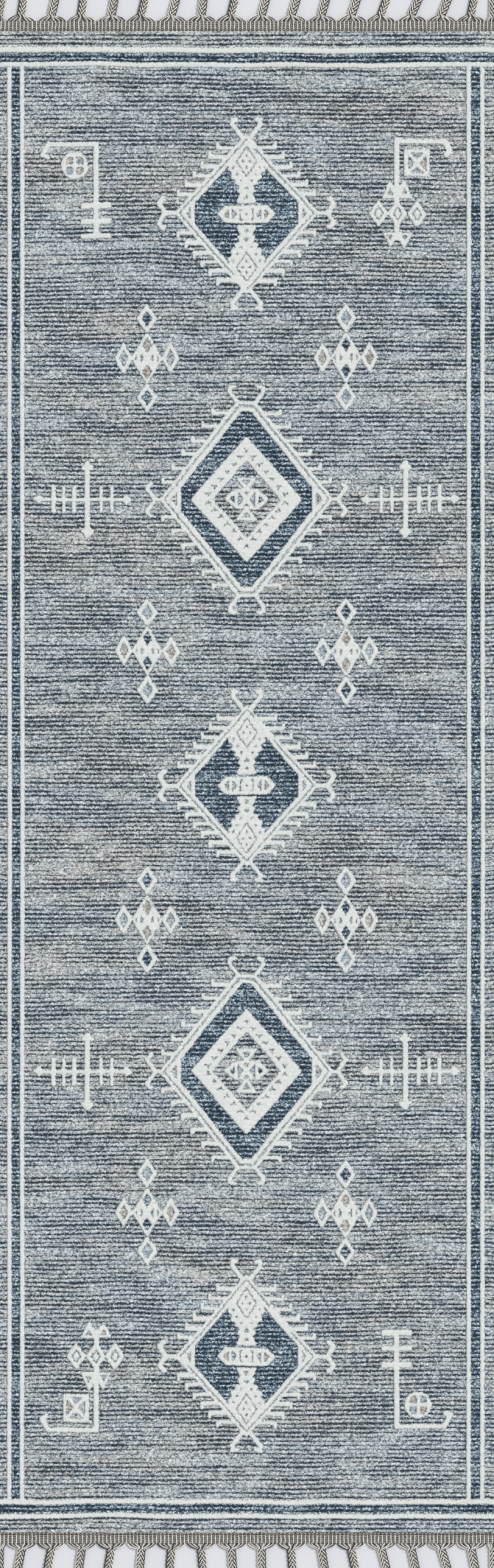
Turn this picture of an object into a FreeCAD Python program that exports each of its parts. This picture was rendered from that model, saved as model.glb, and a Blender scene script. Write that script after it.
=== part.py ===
"""Runner rug: a woven ground, a patterned pile in four yarns, flat-woven end bands, bound sides and plaited tassels.

X is across the rug, Y along it and Z up. The origin is on the floor under the middle of the rug. Millimetres.
"""

import FreeCAD, Part

import math
import os

from FreeCAD import Vector

# --- driving dimensions -----------------------------------------------------------------------------------------

BODY_WIDTH = 762.0
BODY_LENGTH = 2286.0

WEAVE_THICKNESS = 3.0
GROUND_PILE = 5.0
CREAM_PILE = 6.0

END_BAND_WIDTH = 16.0
END_BAND_THICKNESS = 4.5
SELVAGE_WIDTH = 5.0
SELVAGE_HEIGHT = 7.0

# Distances of the border stripes' edges from the middle of their frame, which is a little off the rug's middle.
BORDER_SHIFT_X = -1.2
BORDER_SHIFT_Y = -2.1
FIELD_HALF_WIDTH = 332.0
FIELD_HALF_LENGTH = 1075.4
SIDE_INNER_LINE = 338.0
SIDE_NAVY = 351.5
SIDE_OUTER_LINE = 357.6
END_INNER_LINE = 1081.3
END_NAVY = 1096.7
END_OUTER_LINE = 1103.7

# The woven pattern's centre lies a little towards the lower end of the rug.
PATTERN_SHIFT = -4.7
LARGE_PITCH = 856.5
HEXAGON_Y = 429.0
OUTER_CLUSTER_Y = 641.0
INNER_CLUSTER_Y = 201.8
CLUSTER_X = 149.0
COMB_X = 238.0
COMB_Y = 429.0

# Tassels: equal groups of warp ends, with half a group left at each corner.
TASSEL_PITCH = 45.0
WHOLE_GROUPS = 16
GATHER_LENGTH = 9.0
GATHER_HEIGHT = 5.0
GROUP_GAP = 2.0
PLAIT_WIDTH = 11.5
PLAIT_HEIGHT = 7.0
PLAIT_LENGTH = 58.0
KNOT_WIDTH = 14.0
KNOT_HEIGHT = 9.0
KNOT_LENGTH = 9.0
BRUSH_WIDTH = 17.0
BRUSH_HEIGHT = 5.0
BRUSH_LENGTH = 16.0

# How far each plait leans towards +X, in degrees, from the left corner to the right one.
LEANS_TOP = (9, 8, 13, 8, 10, 14, 16, 7, 13, 16, 18, 16, 19, 20, 24, 22, 11, 1)
LEANS_BOTTOM = (-1, -11, -11, -8, -10, -6, -4, 5, 4, 1, 4, 9, 12, 14, 12, 17, 11, 1)

WEAVE_TOP = WEAVE_THICKNESS
HALF_WIDTH = BODY_WIDTH / 2
HALF_LENGTH = BODY_LENGTH / 2
WEAVE_HALF_WIDTH = HALF_WIDTH - SELVAGE_WIDTH
WEAVE_HALF_LENGTH = HALF_LENGTH - END_BAND_WIDTH


# --- outlines: lists of (x, y) points -----------------------------------------------------------------------------


def rectangle(x0, x1, y0, y1):
    return [(x0, y0), (x1, y0), (x1, y1), (x0, y1)]


def diamond(x, y, half_width, half_height):
    return [(x + half_width, y), (x, y + half_height), (x - half_width, y), (x, y - half_height)]


def disc(x, y, radius, corners=16):
    """A round shape in the stepped outline that knots give it."""
    angles = [2 * math.pi * (i + 0.5) / corners for i in range(corners)]
    return [(x + radius * math.cos(a), y + radius * math.sin(a)) for a in angles]


def stroke(points, width):
    """The outline of a line of one width with mitred corners."""
    left, right = [], []
    for i, (x, y) in enumerate(points):
        before = points[max(i - 1, 0)]
        after = points[min(i + 1, len(points) - 1)]
        a = unit(x - before[0], y - before[1]) if i else unit(after[0] - x, after[1] - y)
        b = unit(after[0] - x, after[1] - y) if i < len(points) - 1 else a
        across = unit(-(a[1] + b[1]), a[0] + b[0])
        reach = width / 2 / (across[0] * -a[1] + across[1] * a[0])
        left.append((x + across[0] * reach, y + across[1] * reach))
        right.append((x - across[0] * reach, y - across[1] * reach))
    return left + right[::-1]


def unit(x, y):
    length = math.hypot(x, y)
    return x / length, y / length


def flipped_x(outline):
    return [(-x, y) for x, y in outline]


def flipped_y(outline):
    return [(x, -y) for x, y in outline]


def both_sides(outlines):
    return outlines + [flipped_x(o) for o in outlines]


def four_ways(outlines):
    sides = both_sides(outlines)
    return sides + [flipped_y(o) for o in sides]


def moved(outline, dx, dy):
    return [(x + dx, y + dy) for x, y in outline]


def bird_mark(x, y, up):
    """A small Y of a few knots: two spread arms and a short stem. The arms point up or down."""
    right = [(0, 1.2), (1.2, 2.0), (5.2, 3.4), (5.0, 1.2), (1.3, -0.2), (1.2, -3.8)]
    mark = right + flipped_x(right[:0:-1])
    return moved(mark if up else flipped_y(mark), x, y)


def hooks(first_y, step_y, first_tip, step_tip, thickness, root_inset, edge):
    """Six hooked bars on one quarter of a medallion; each bar's end turns away from the middle."""
    tick_width, tick_height = 5.2, 5.0
    outlines = []
    for i in range(6):
        y = first_y - i * step_y
        tip = first_tip + i * step_tip
        root = edge(y) - root_inset
        outlines.append(rectangle(root, tip, y - thickness / 2, y + thickness / 2))
        outlines.append(rectangle(tip - tick_width, tip, y, y + thickness / 2 + tick_height))
    return outlines


# --- motifs: layers of (yarn, outlines), where a later layer takes the place of the ones under it ----------------


def large_medallion():
    """The hooked diamond medallion."""
    half_width, half_height = 107.8, 121.5
    frame = [diamond(0, 0, half_width, half_height)]
    frame += four_ways(
        hooks(100, 14.3, 46, 11.8, 6.0, 6, lambda y: half_width * (1 - y / half_height))
        + [
            stroke([(5, 114), (21.5, 135.5), (19.5, 142.5), (12.5, 141)], 6),
            [(18, 140), (24.5, 147), (24, 138)],
            stroke([(104, 0), (122, 0), (131, 14.5), (123, 24)], 6.5),
            [(126, 20), (119, 26.5), (121, 18)],
        ]
    )
    ground_lines = [diamond(0, 0, 101.7, 115.2)]
    inner_frame = [diamond(0, 0, 99.1, 112.2)]
    navy = [[(78.5, 15.3), (0, 104), (-78.5, 15.3), (-78.5, -15.3), (0, -104), (78.5, -15.3)]]
    side_cells = [[(83, 11), (90, 0), (83, -11)]]
    tree = [(0, 106), (25.2, 75.5), (28.5, 66.5), (21, 62), (24.5, 54.5), (15, 50), (18.5, 45.5), (9.5, 42)]
    tree += [(14, 34), (8.5, 31), (15, 18.5), (13, 16.5), (0, 16.5)]
    capsule = [(44, 0), (31, 13), (-31, 13), (-44, 0), (-31, -13), (31, -13)]
    small_outlines = [diamond(0, 79.5, 16.4, 24), flipped_y(diamond(0, 79.5, 16.4, 24))]
    small_diamonds = [diamond(0, 79.5, 14, 20.5), flipped_y(diamond(0, 79.5, 14, 20.5))]
    dots = [diamond(x, y, 2.2, 2.6) for x, y in ((5, 79.5), (20, 70), (14, 60), (8, 50))]
    bracket = stroke([(-5.5, 8), (-9.5, 8), (-9.5, -8), (-5.5, -8)], 2.2)
    brown = four_ways(dots[1:2] + dots[3:]) + [flipped_y([(-4.4, 22.4), (4.4, 22.4), (0, 29.3)])]
    brown += [[(-4.4, 22.4), (4.4, 22.4), (0, 29.3)], bracket, flipped_x(bracket)]
    brown += both_sides([[(27, 8), (35, 0), (27, -8)]])
    blue = four_ways(dots[:1] + dots[2:3]) + [diamond(0, 70.5, 2.4, 3), diamond(0, -70.5, 2.4, 3)]
    blue += [[(-5, 36.5), (5, 36.5), (0, 43)], [(-5, -36.5), (5, -36.5), (0, -43)]]
    blue += both_sides([[(21.5, 9), (14.5, 0), (21.5, -9)]])
    dark = [diamond(0, 88.5, 2.4, 3), diamond(0, -88.5, 2.4, 3), diamond(0, 0, 2.6, 3)]
    return [
        ("cream", frame),
        ("ground", ground_lines),
        ("cream", inner_frame),
        ("navy", navy),
        ("cream", four_ways([tree]) + [capsule]),
        ("ground", both_sides(side_cells) + small_outlines),
        ("cream", small_diamonds),
        ("brown", brown),
        ("blue", blue),
        ("navy", dark),
    ]


def hexagon_medallion():
    """The medallion with a white diamond inside a navy one, and a small figure at its middle."""
    half_width, top_y, top_x = 130.6, 145.7, 14.6

    def edge(y):
        return top_x + (half_width - top_x) * (1 - y / top_y)

    def flat_topped(tip, flat_x, flat_y):
        return [(tip, 0), (flat_x, flat_y), (-flat_x, flat_y), (-tip, 0), (-flat_x, -flat_y), (flat_x, -flat_y)]

    frame = [flat_topped(half_width, top_x, top_y)]
    frame += four_ways(
        hooks(128.8, 20.5, 53, 15.1, 5.2, 6, edge)
        + [
            stroke([(10, 140), (25, 160), (24.5, 167), (17.5, 168.5)], 5.5),
            [(20, 165), (21, 172.5), (13, 167.5)],
            stroke([(126, 0), (137, 0), (149.5, 18), (141.5, 26)], 5.5),
        ]
    )
    navy = [[(98.6, 17.5), (7.3, 131.5), (-7.3, 131.5), (-98.6, 17.5)]]
    navy[0] += [(-98.6, -17.5), (-7.3, -131.5), (7.3, -131.5), (98.6, -17.5)]
    side_cells = both_sides([[(105, 11), (114, 0), (105, -11)]])
    figure = [
        [(-16, 32.5), (16, 32.5), (3, 15), (-3, 15)],
        [(-16, -32), (16, -32), (3, -13), (-3, -13)],
        [(-34, 1), (-17.5, 15), (17.5, 15), (34, 1), (17, -13.5), (-17, -13.5)],
    ]
    blue = [[(-7.5, 29), (7.5, 29), (0, 19.5)], [(-7, -28), (7, -28), (0, -17)]]
    blue += both_sides([[(12.5, 11), (4, 0), (12.5, -11)]])
    brown = [[(-4.5, 11.5), (4.5, 11.5), (0, 4.5)], [(-4.5, -11), (4.5, -11), (0, -4.5)]]
    dark = both_sides([[(18, 7), (26.5, 0.5), (18, -6)]])
    marks = {"brown": [], "blue": [], "navy": []}
    yarns = ("navy", "blue", "brown", "blue", "navy", "blue", "brown")
    for i in range(7):
        across = 9.6 * i
        for sign in (1, -1) if i else (1,):
            marks[yarns[(i + (sign > 0)) % 7]].append(bird_mark(sign * across, 74 - 11.1 * i, True))
            marks[yarns[(i + 3 + (sign > 0)) % 7]].append(bird_mark(sign * across, -70.3 + 11.05 * i, False))
    return [
        ("cream", frame),
        ("ground", [flat_topped(125, 11.2, 140.9)]),
        ("cream", [flat_topped(122.3, 9.6, 137.9)]),
        ("navy", navy),
        ("cream", [diamond(0, 0, 83.1, 94)]),
        ("ground", [diamond(0, 0, 51.6, 58.7)] + side_cells),
        ("cream", figure),
        ("brown", brown + marks["brown"]),
        ("blue", blue + marks["blue"]),
        ("navy", dark + marks["navy"]),
    ]


def cluster_motif(tall_yarn, centre_yarn, side_yarn):
    """A large diamond with a smaller one at each of its four corners. Each pair of cells has its own yarn."""
    end_y, side_x, centre_y = 58.5, 35.2, 19.0
    frames = [diamond(0, sign * end_y, 15.6, 22.3) for sign in (1, -1)]
    frames += [diamond(sign * side_x, 0, 13.4, 23.2) for sign in (1, -1)]
    return [
        ("cream", frames + [diamond(0, 0, 23, 38.5)]),
        (tall_yarn, [diamond(0, sign * end_y, 8.7, 13) for sign in (1, -1)]),
        (centre_yarn, [diamond(0, sign * centre_y, 7.6, 11.7) for sign in (1, -1)]),
        (side_yarn, [diamond(sign * side_x, 0, 6.9, 13.2) for sign in (1, -1)]),
        ("blue", both_sides([[(10, 8), (5, 0), (10, -8)], [(15.3, 6), (18.3, 0), (15.3, -6)]])),
    ]


def comb_motif():
    """A cross with short teeth; its longer arm, with three teeth, points to +X."""
    upright, arm_thickness, tooth_half = 57.7, 5.4, 20.5
    outlines = [
        rectangle(-3.65, 3.65, -upright, upright),
        rectangle(-64, 78, -arm_thickness / 2, arm_thickness / 2),
        [(-3, 46), (9.5, 46), (9.5, 49), (0, upright + 1), (-9.5, 49), (-9.5, 46)],
        [(-3, -46), (9.5, -46), (9.5, -49), (0, -upright - 1), (-9.5, -49), (-9.5, -46)],
        [(72, 7.8), (82.5, 0), (72, -7.8), (67, 0)],
        [(-57, 7.8), (-67.6, 0), (-57, -7.8), (-52, 0)],
    ]
    for x in (-36.2, -19.9, 20.5, 36.0, 51.4):
        outlines.append(rectangle(x - arm_thickness / 2, x + arm_thickness / 2, -tooth_half, tooth_half))
    return [("cream", outlines)]


def wheel_motif():
    """The corner staff with a crossed wheel and three bars, in the rug's own coordinates."""
    wheel_x, wheel_y, wheel_radius = -257.2, 925.8, 20.3
    quarter, corner = 13.4, 4.2
    spoke_half, spoke_reach = 2.2, 15.0
    bar_half = 4.0
    cream = [
        rectangle(-228.7, -221.4, 815, 961),
        stroke([(-221.6, 957.4), (-297, 957.4), (-305.5, 941), (-295.5, 937)], 7),
        disc(wheel_x, wheel_y, wheel_radius),
    ]
    for y in (864.4, 840.7, 819.0):
        cream.append(rectangle(-248.3, -202.3, y - bar_half, y + bar_half))
    cross = [
        rectangle(wheel_x - spoke_reach, wheel_x + spoke_reach, wheel_y - spoke_half, wheel_y + spoke_half),
        rectangle(wheel_x - spoke_half, wheel_x + spoke_half, wheel_y - spoke_reach, wheel_y + spoke_reach),
    ]
    left, right = wheel_x - quarter, wheel_x + quarter
    low, high = wheel_y - quarter, wheel_y + quarter
    brown = [
        [(wheel_x, wheel_y), (left, wheel_y), (left, high - corner), (left + corner, high), (wheel_x, high)],
        [(wheel_x, wheel_y), (right, wheel_y), (right, low + corner), (right - corner, low), (wheel_x, low)],
    ]
    blue = [
        [(wheel_x, wheel_y), (right, wheel_y), (right, high - corner), (right - corner, high), (wheel_x, high)],
        [(wheel_x, wheel_y), (left, wheel_y), (left, low + corner), (left + corner, low), (wheel_x, low)],
    ]
    return [("cream", cream), ("brown", brown), ("blue", blue), ("cream", cross)]


def box_motif():
    """The corner staff with a crossed box, triangles and three diamonds, in the rug's own coordinates."""
    staff_x, row_y = 225.9, 851.9
    row_x = (197.9, 226.4, 255.8)
    box_x0, box_x1, box_y0, box_y1 = 236.8, 274.6, 907.8, 950.6
    middle_x, middle_y = (box_x0 + box_x1) / 2, (box_y0 + box_y1) / 2
    rim = 5.0
    cream = [
        rectangle(staff_x - 3.6, staff_x + 3.6, 812, 966.6),
        stroke([(222.4, 962.6), (297, 962.6), (306, 946), (297, 940.5)], 7.5),
        rectangle(box_x0, box_x1, box_y0, box_y1),
        [(203.5, 875.5), (225, 875.5), (225, 886), (215, 902)],
        [(227, 875.5), (248.6, 875.5), (236.6, 903), (227, 888)],
        [(203.5, 824.5), (225, 824.5), (225, 815), (215, 802)],
        [(227, 824.5), (249.6, 824.5), (236.2, 799), (227, 815)],
    ]
    cream += [diamond(x, row_y, 14.6, 20) for x in row_x]
    cell_left, cell_right = box_x0 + rim, box_x1 - rim
    cell_low, cell_high = box_y0 + rim, box_y1 - rim
    slope = 3.4
    blue = [
        [(cell_left, cell_low + slope), (middle_x - slope, middle_y), (cell_left, cell_high - slope)],
        [(cell_left + slope, cell_low), (middle_x, middle_y - 6), (cell_right - slope, cell_low)],
        [(208.5, 879.5), (220.5, 879.5), (215, 890)],
        [(232, 821), (243, 821), (237, 812)],
    ]
    brown = [
        [(cell_right, cell_low + slope), (middle_x + slope, middle_y), (cell_right, cell_high - slope)],
        [(232, 881.5), (241.5, 881.5), (236.5, 891)],
        [(210, 821), (220, 821), (215, 811)],
    ]
    ground = [[(cell_left + slope, cell_high), (middle_x, middle_y + 6), (cell_right - slope, cell_high)]]
    rings = [diamond(x, row_y, 7.8, 11.5) for x in row_x]
    hearts = [diamond(x, row_y, 5, 7.6) for x in row_x]
    return [
        ("cream", cream),
        ("blue", blue + rings),
        ("brown", brown),
        ("ground", ground),
        ("cream", hearts),
    ]


# --- faces and solids ---------------------------------------------------------------------------------------------


def face_of(outline):
    """A flat face that looks up, whichever way round the outline runs."""
    following = outline[1:] + outline[:1]
    doubled_area = sum(x0 * y1 - x1 * y0 for (x0, y0), (x1, y1) in zip(outline, following))
    points = [Vector(x, y, 0) for x, y in (outline if doubled_area > 0 else outline[::-1])]
    return Part.Face(Part.makePolygon(points + points[:1]))


def fused(shapes):
    joined = shapes[0] if len(shapes) == 1 else shapes[0].multiFuse(shapes[1:])
    return joined.removeSplitter()


def drawn(layers):
    """Each yarn's flat shape and the whole motif's outline, at the motif's own place."""
    covered = None
    by_yarn = {}
    for yarn, outlines in reversed(layers):
        shape = fused([face_of(o) for o in outlines])
        showing = shape if covered is None else shape.cut(covered)
        by_yarn.setdefault(yarn, []).append(showing)
        covered = shape if covered is None else fused([covered, shape])
    return {yarn: fused(shapes) for yarn, shapes in by_yarn.items()}, covered


class Motif:
    """A drawn motif that can be placed at several spots."""

    def __init__(self, layers):
        self.yarns, self.outline = drawn(layers)

    def placed(self, x=0.0, y=0.0, turned=False, mirrored=False):
        """The motif at (x, y) from the pattern's centre; turned is half a turn about that centre."""
        copy = Motif.__new__(Motif)

        def put(shape):
            if mirrored:
                shape = flat_mirror(shape)
            shape = shape.copy()
            shape.translate(Vector(x, y, 0))
            if turned:
                shape.rotate(Vector(0, PATTERN_SHIFT, 0), Vector(0, 0, 1), 180)
            return shape

        copy.yarns = {yarn: put(shape) for yarn, shape in self.yarns.items()}
        copy.outline = put(self.outline)
        return copy


def flat_mirror(shape):
    """The flat shape mirrored left to right, by half a turn about the Y axis, so that it stays flat."""
    turned = shape.copy()
    turned.rotate(Vector(0, 0, 0), Vector(0, 1, 0), 180)
    return turned


def raised(shape, bottom, height):
    """The solids that stand on a flat shape's faces, from bottom up to bottom + height."""
    solids = []
    for face in shape.Faces:
        solid = face.extrude(Vector(0, 0, height))
        solid.translate(Vector(0, 0, bottom))
        solids.append(solid if solid.Volume > 0 else solid.reversed())
    return fused(solids).Solids


def slab(x0, x1, y0, y1, z0, z1):
    return Part.makeBox(x1 - x0, y1 - y0, z1 - z0, Vector(x0, y0, z0))


def save(node, solids):
    shape = solids[0] if len(solids) == 1 else Part.makeCompound(solids)
    assert shape.isValid(), node
    shape.exportStep(f"parts/{node}.step")
    print(f"{node}: {len(solids)} solids, {sum(s.Volume for s in solids) / 1000:.1f} cm3")


# --- the rug's parts ----------------------------------------------------------------------------------------------


def foundation():
    """The woven ground, the flat-woven end bands and the bound side edges."""
    half_x, half_y = WEAVE_HALF_WIDTH, WEAVE_HALF_LENGTH
    save("ground_weave", [slab(-half_x, half_x, -half_y, half_y, 0, WEAVE_THICKNESS)])
    for end, sign in (("top", 1), ("bottom", -1)):
        near, far = sorted((sign * half_y, sign * HALF_LENGTH))
        save(f"end_band_{end}", [slab(-HALF_WIDTH, HALF_WIDTH, near, far, 0, END_BAND_THICKNESS)])
    for side, sign in (("left", -1), ("right", 1)):
        save(f"selvage_{side}", [selvage(sign)])


def selvage(sign):
    """A side cord of overcast yarn, rounded on its outer side."""
    inner, outer = sign * WEAVE_HALF_WIDTH, sign * HALF_WIDTH
    round_start = outer - sign * SELVAGE_WIDTH * 0.5
    start = -WEAVE_HALF_LENGTH
    corners = [
        Vector(inner, start, 0),
        Vector(round_start, start, 0),
        Vector(outer, start, SELVAGE_HEIGHT / 2),
        Vector(round_start, start, SELVAGE_HEIGHT),
        Vector(inner, start, SELVAGE_HEIGHT),
    ]
    edges = [
        Part.makeLine(corners[0], corners[1]),
        Part.Arc(corners[1], corners[2], corners[3]).toShape(),
        Part.makeLine(corners[3], corners[4]),
        Part.makeLine(corners[4], corners[0]),
    ]
    section = Part.Face(Part.Wire(edges))
    solid = section.extrude(Vector(0, 2 * WEAVE_HALF_LENGTH, 0))
    return solid if solid.Volume > 0 else solid.reversed()


def stripe_x(sign, distance):
    """Where a side stripe's edge lies. The rug's own edge doesn't shift with the stripes."""
    return sign * distance + (0 if distance == WEAVE_HALF_WIDTH else BORDER_SHIFT_X)


def stripe_y(sign, distance):
    """Where an end stripe's edge lies. The rug's own end doesn't shift with the stripes."""
    return sign * distance + (0 if distance == WEAVE_HALF_LENGTH else BORDER_SHIFT_Y)


def border_strips(side_in, side_out, end_in, end_out, height):
    """The two sides and two ends of one border stripe. The ends run the rug's whole width."""
    z0, z1 = WEAVE_TOP, WEAVE_TOP + height
    strips = []
    for sign in (-1, 1):
        x0, x1 = sorted((stripe_x(sign, side_in), stripe_x(sign, side_out)))
        y0, y1 = sorted((stripe_y(sign, end_in), stripe_y(sign, end_out)))
        strips.append(slab(x0, x1, stripe_y(-1, FIELD_HALF_LENGTH), stripe_y(1, FIELD_HALF_LENGTH), z0, z1))
        strips.append(slab(-WEAVE_HALF_WIDTH, WEAVE_HALF_WIDTH, y0, y1, z0, z1))
    return strips


def borders():
    save(
        "border_line_inner",
        border_strips(FIELD_HALF_WIDTH, SIDE_INNER_LINE, FIELD_HALF_LENGTH, END_INNER_LINE, CREAM_PILE),
    )
    save("border_navy", border_strips(SIDE_INNER_LINE, SIDE_NAVY, END_INNER_LINE, END_NAVY, GROUND_PILE))
    save("border_line_outer", border_strips(SIDE_NAVY, SIDE_OUTER_LINE, END_NAVY, END_OUTER_LINE, CREAM_PILE))
    save(
        "border_margin",
        border_strips(SIDE_OUTER_LINE, WEAVE_HALF_WIDTH, END_OUTER_LINE, WEAVE_HALF_LENGTH, GROUND_PILE),
    )


def placed_motifs():
    """Every motif in its place, in lists named after the node of its cream pile."""
    large = Motif(large_medallion())
    hexagon = Motif(hexagon_medallion())
    cluster_a = Motif(cluster_motif("navy", "brown", "blue"))
    cluster_b = Motif(cluster_motif("blue", "navy", "brown"))
    comb = Motif(comb_motif())
    wheel = Motif(wheel_motif())
    box = Motif(box_motif())
    shift = PATTERN_SHIFT

    def clusters(sign):
        """Four clusters in two colourings, which alternate from side to side and from row to row."""
        placed = []
        for row, distance in ((1, OUTER_CLUSTER_Y), (-1, INNER_CLUSTER_Y)):
            for side in (-1, 1):
                motif = cluster_a if side * row * sign < 0 else cluster_b
                placed.append(motif.placed(side * CLUSTER_X, shift + sign * distance))
        return placed

    def combs(y):
        return [comb.placed(COMB_X, y), comb.placed(-COMB_X, y, mirrored=True)]

    return {
        "medallion_1": [large.placed(0, shift + LARGE_PITCH)],
        "medallion_2": [hexagon.placed(0, shift + HEXAGON_Y)],
        "medallion_3": [large.placed(0, shift)],
        "medallion_4": [hexagon.placed(0, shift - HEXAGON_Y)],
        "medallion_5": [large.placed(0, shift - LARGE_PITCH)],
        "cluster_motifs_upper": clusters(1),
        "cluster_motifs_lower": clusters(-1),
        "comb_motifs": combs(shift + COMB_Y) + combs(shift - COMB_Y),
        "corner_motifs_upper": [wheel.placed(), box.placed()],
        "corner_motifs_lower": [wheel.placed(turned=True), box.placed(turned=True)],
    }


def patterned_pile():
    """The cream motifs, the other yarns inside them, and the field pile round them."""
    groups = placed_motifs()
    for node, motifs in groups.items():
        save(node, [s for m in motifs for s in raised(m.yarns["cream"], WEAVE_TOP, CREAM_PILE)])
    every = [m for motifs in groups.values() for m in motifs]
    insets = {"navy": "medallion_grounds", "ground": "inset_ground", "brown": "accent_brown", "blue": "accent_blue"}
    for yarn, node in insets.items():
        shapes = [m.yarns[yarn] for m in every if yarn in m.yarns]
        save(node, [s for shape in shapes for s in raised(shape, WEAVE_TOP, GROUND_PILE)])
    left, right = stripe_x(-1, FIELD_HALF_WIDTH), stripe_x(1, FIELD_HALF_WIDTH)
    field = face_of(rectangle(left, right, stripe_y(-1, FIELD_HALF_LENGTH), stripe_y(1, FIELD_HALF_LENGTH)))
    save("field_pile", raised(field.cut([m.outline for m in every]), WEAVE_TOP, GROUND_PILE))


def rounded_bar(width, height, start, end, end_width=None, end_height=None):
    """A bar that lies on the floor along +Y from start to end, with chamfered long edges."""
    sections = []
    for y, w, h in ((start, width, height), (end, end_width or width, end_height or height)):
        cut = h * 0.28
        half = w / 2
        points = [(-half + cut, 0), (half - cut, 0), (half, cut), (half, h - cut)]
        points += [(half - cut, h), (-half + cut, h), (-half, h - cut), (-half, cut)]
        corners = [Vector(x, y, z) for x, z in points]
        sections.append(Part.makePolygon(corners + corners[:1]))
    return Part.makeLoft(sections, True, True)


def tassel(group_width, lean):
    """One tassel along +Y: the warp ends gathered into a plait, its knot and the loose ends past the knot."""
    half = group_width / 2
    gather_end = GATHER_LENGTH + PLAIT_WIDTH / 2
    root = [(-half, 0), (half, 0), (PLAIT_WIDTH / 2, GATHER_LENGTH), (PLAIT_WIDTH / 2 - 1, gather_end)]
    root += [(1 - PLAIT_WIDTH / 2, gather_end), (-PLAIT_WIDTH / 2, GATHER_LENGTH)]
    gather = face_of(root).extrude(Vector(0, 0, GATHER_HEIGHT))
    plait_start = GATHER_LENGTH - 2
    plait_end = plait_start + PLAIT_LENGTH
    knot_end = plait_end + KNOT_LENGTH
    hanging = [
        rounded_bar(PLAIT_WIDTH, PLAIT_HEIGHT, plait_start, plait_end + 1),
        rounded_bar(KNOT_WIDTH, KNOT_HEIGHT, plait_end, knot_end),
        rounded_bar(PLAIT_WIDTH, PLAIT_HEIGHT, knot_end - 1, knot_end + BRUSH_LENGTH, BRUSH_WIDTH, BRUSH_HEIGHT),
    ]
    for piece in hanging:
        piece.rotate(Vector(0, GATHER_LENGTH, 0), Vector(0, 0, 1), -lean)
    return gather.fuse(hanging).removeSplitter()


def tassels():
    """A tassel on every group of warp ends, at both ends of the rug."""
    whole_span = WHOLE_GROUPS * TASSEL_PITCH / 2
    corner_width = HALF_WIDTH - whole_span
    groups = [(-(whole_span + HALF_WIDTH) / 2, corner_width)]
    groups += [((i + 0.5) * TASSEL_PITCH - whole_span, TASSEL_PITCH) for i in range(WHOLE_GROUPS)]
    groups += [((whole_span + HALF_WIDTH) / 2, corner_width)]
    for end, sign, leans in (("top", 1, LEANS_TOP), ("bottom", -1, LEANS_BOTTOM)):
        for number, ((x, width), lean) in enumerate(zip(groups, leans), 1):
            piece = tassel(width - GROUP_GAP, sign * lean)
            if sign < 0:
                piece.rotate(Vector(0, 0, 0), Vector(0, 0, 1), 180)
            piece.translate(Vector(x, sign * HALF_LENGTH, 0))
            save(f"tassel_{end}_{number:02d}", piece.Solids)


os.makedirs("parts", exist_ok=True)
foundation()
borders()
patterned_pile()
tassels()
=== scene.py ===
"""The looks of the runner rug: pile in five yarns, woven back, end bands, side cords and plaited tassels.

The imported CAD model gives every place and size, and the pattern's outlines. X is across the rug, Y along
it, and Z up. Lengths named _MM are in millimetres; other lengths are in metres.
"""

import math

import bpy
import numpy as np
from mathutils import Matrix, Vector, geometry


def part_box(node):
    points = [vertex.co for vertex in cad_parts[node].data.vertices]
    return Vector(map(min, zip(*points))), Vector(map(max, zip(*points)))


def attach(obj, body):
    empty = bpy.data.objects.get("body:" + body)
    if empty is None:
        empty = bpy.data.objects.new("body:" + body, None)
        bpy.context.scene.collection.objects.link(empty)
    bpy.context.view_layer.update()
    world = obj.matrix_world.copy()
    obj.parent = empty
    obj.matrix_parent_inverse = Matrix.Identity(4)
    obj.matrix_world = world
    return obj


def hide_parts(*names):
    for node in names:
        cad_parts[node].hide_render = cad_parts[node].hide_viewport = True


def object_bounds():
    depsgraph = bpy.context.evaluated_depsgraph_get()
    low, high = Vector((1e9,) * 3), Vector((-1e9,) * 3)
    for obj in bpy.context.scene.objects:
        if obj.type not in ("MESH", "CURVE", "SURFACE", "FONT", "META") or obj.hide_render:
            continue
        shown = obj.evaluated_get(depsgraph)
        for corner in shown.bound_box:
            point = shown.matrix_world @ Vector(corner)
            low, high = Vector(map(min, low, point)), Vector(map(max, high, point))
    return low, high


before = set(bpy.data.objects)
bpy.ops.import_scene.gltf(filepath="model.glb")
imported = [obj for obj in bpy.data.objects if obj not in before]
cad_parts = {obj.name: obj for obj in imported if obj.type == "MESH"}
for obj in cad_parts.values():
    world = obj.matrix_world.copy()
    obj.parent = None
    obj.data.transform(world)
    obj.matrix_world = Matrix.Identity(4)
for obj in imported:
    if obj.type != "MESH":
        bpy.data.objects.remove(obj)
cad_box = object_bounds()

MM = 0.001

# --- driving values -------------------------------------------------------------------------------------

# The pile's grid: each row of tufts takes STEPS grid rows, and each tuft two grid columns.
PILE_ROWS = 342
STEPS = 4
COLUMNS = 512
ROWS = PILE_ROWS * STEPS
FINE = 3  # samples a cell and direction, where the CAD outlines are laid on the grid

# The figures' tufts are fatter than the ground's around them, so they win a cell that they share.
FIGURE_WEIGHT = 1.24
GROUND_AROUND_FIGURES = ("field_pile", "border_margin")

# Height of the pile at the four grid rows of a row of tufts, counted from the gap before it.
ROW_PROFILE_MM = (-1.1, -0.3, 0.0, -0.3)
CREAM_PROFILE_MM = (-0.5, -0.1, 0.0, -0.1)
COLUMN_DIP_MM = 0.3  # between two tufts of a row
TUFT_ROUGHNESS_MM = 0.24
EDGE_DROP_MM = 0.3
CREAM_BULGE_MM = 0.6

# How far the weaving wanders, and over how many grid rows and columns.
DRIFT_MM = 0.7
DRIFT_REACH = (60, 50)
SWAY_MM = 0.5
SWAY_REACH = (8, 14)
RAGGED_MM = (0.26, 0.4)  # how unevenly tufts stand, along X and along Y
STILL_MARGIN_MM = 14.0  # the margin in which all of this fades to nothing

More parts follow.
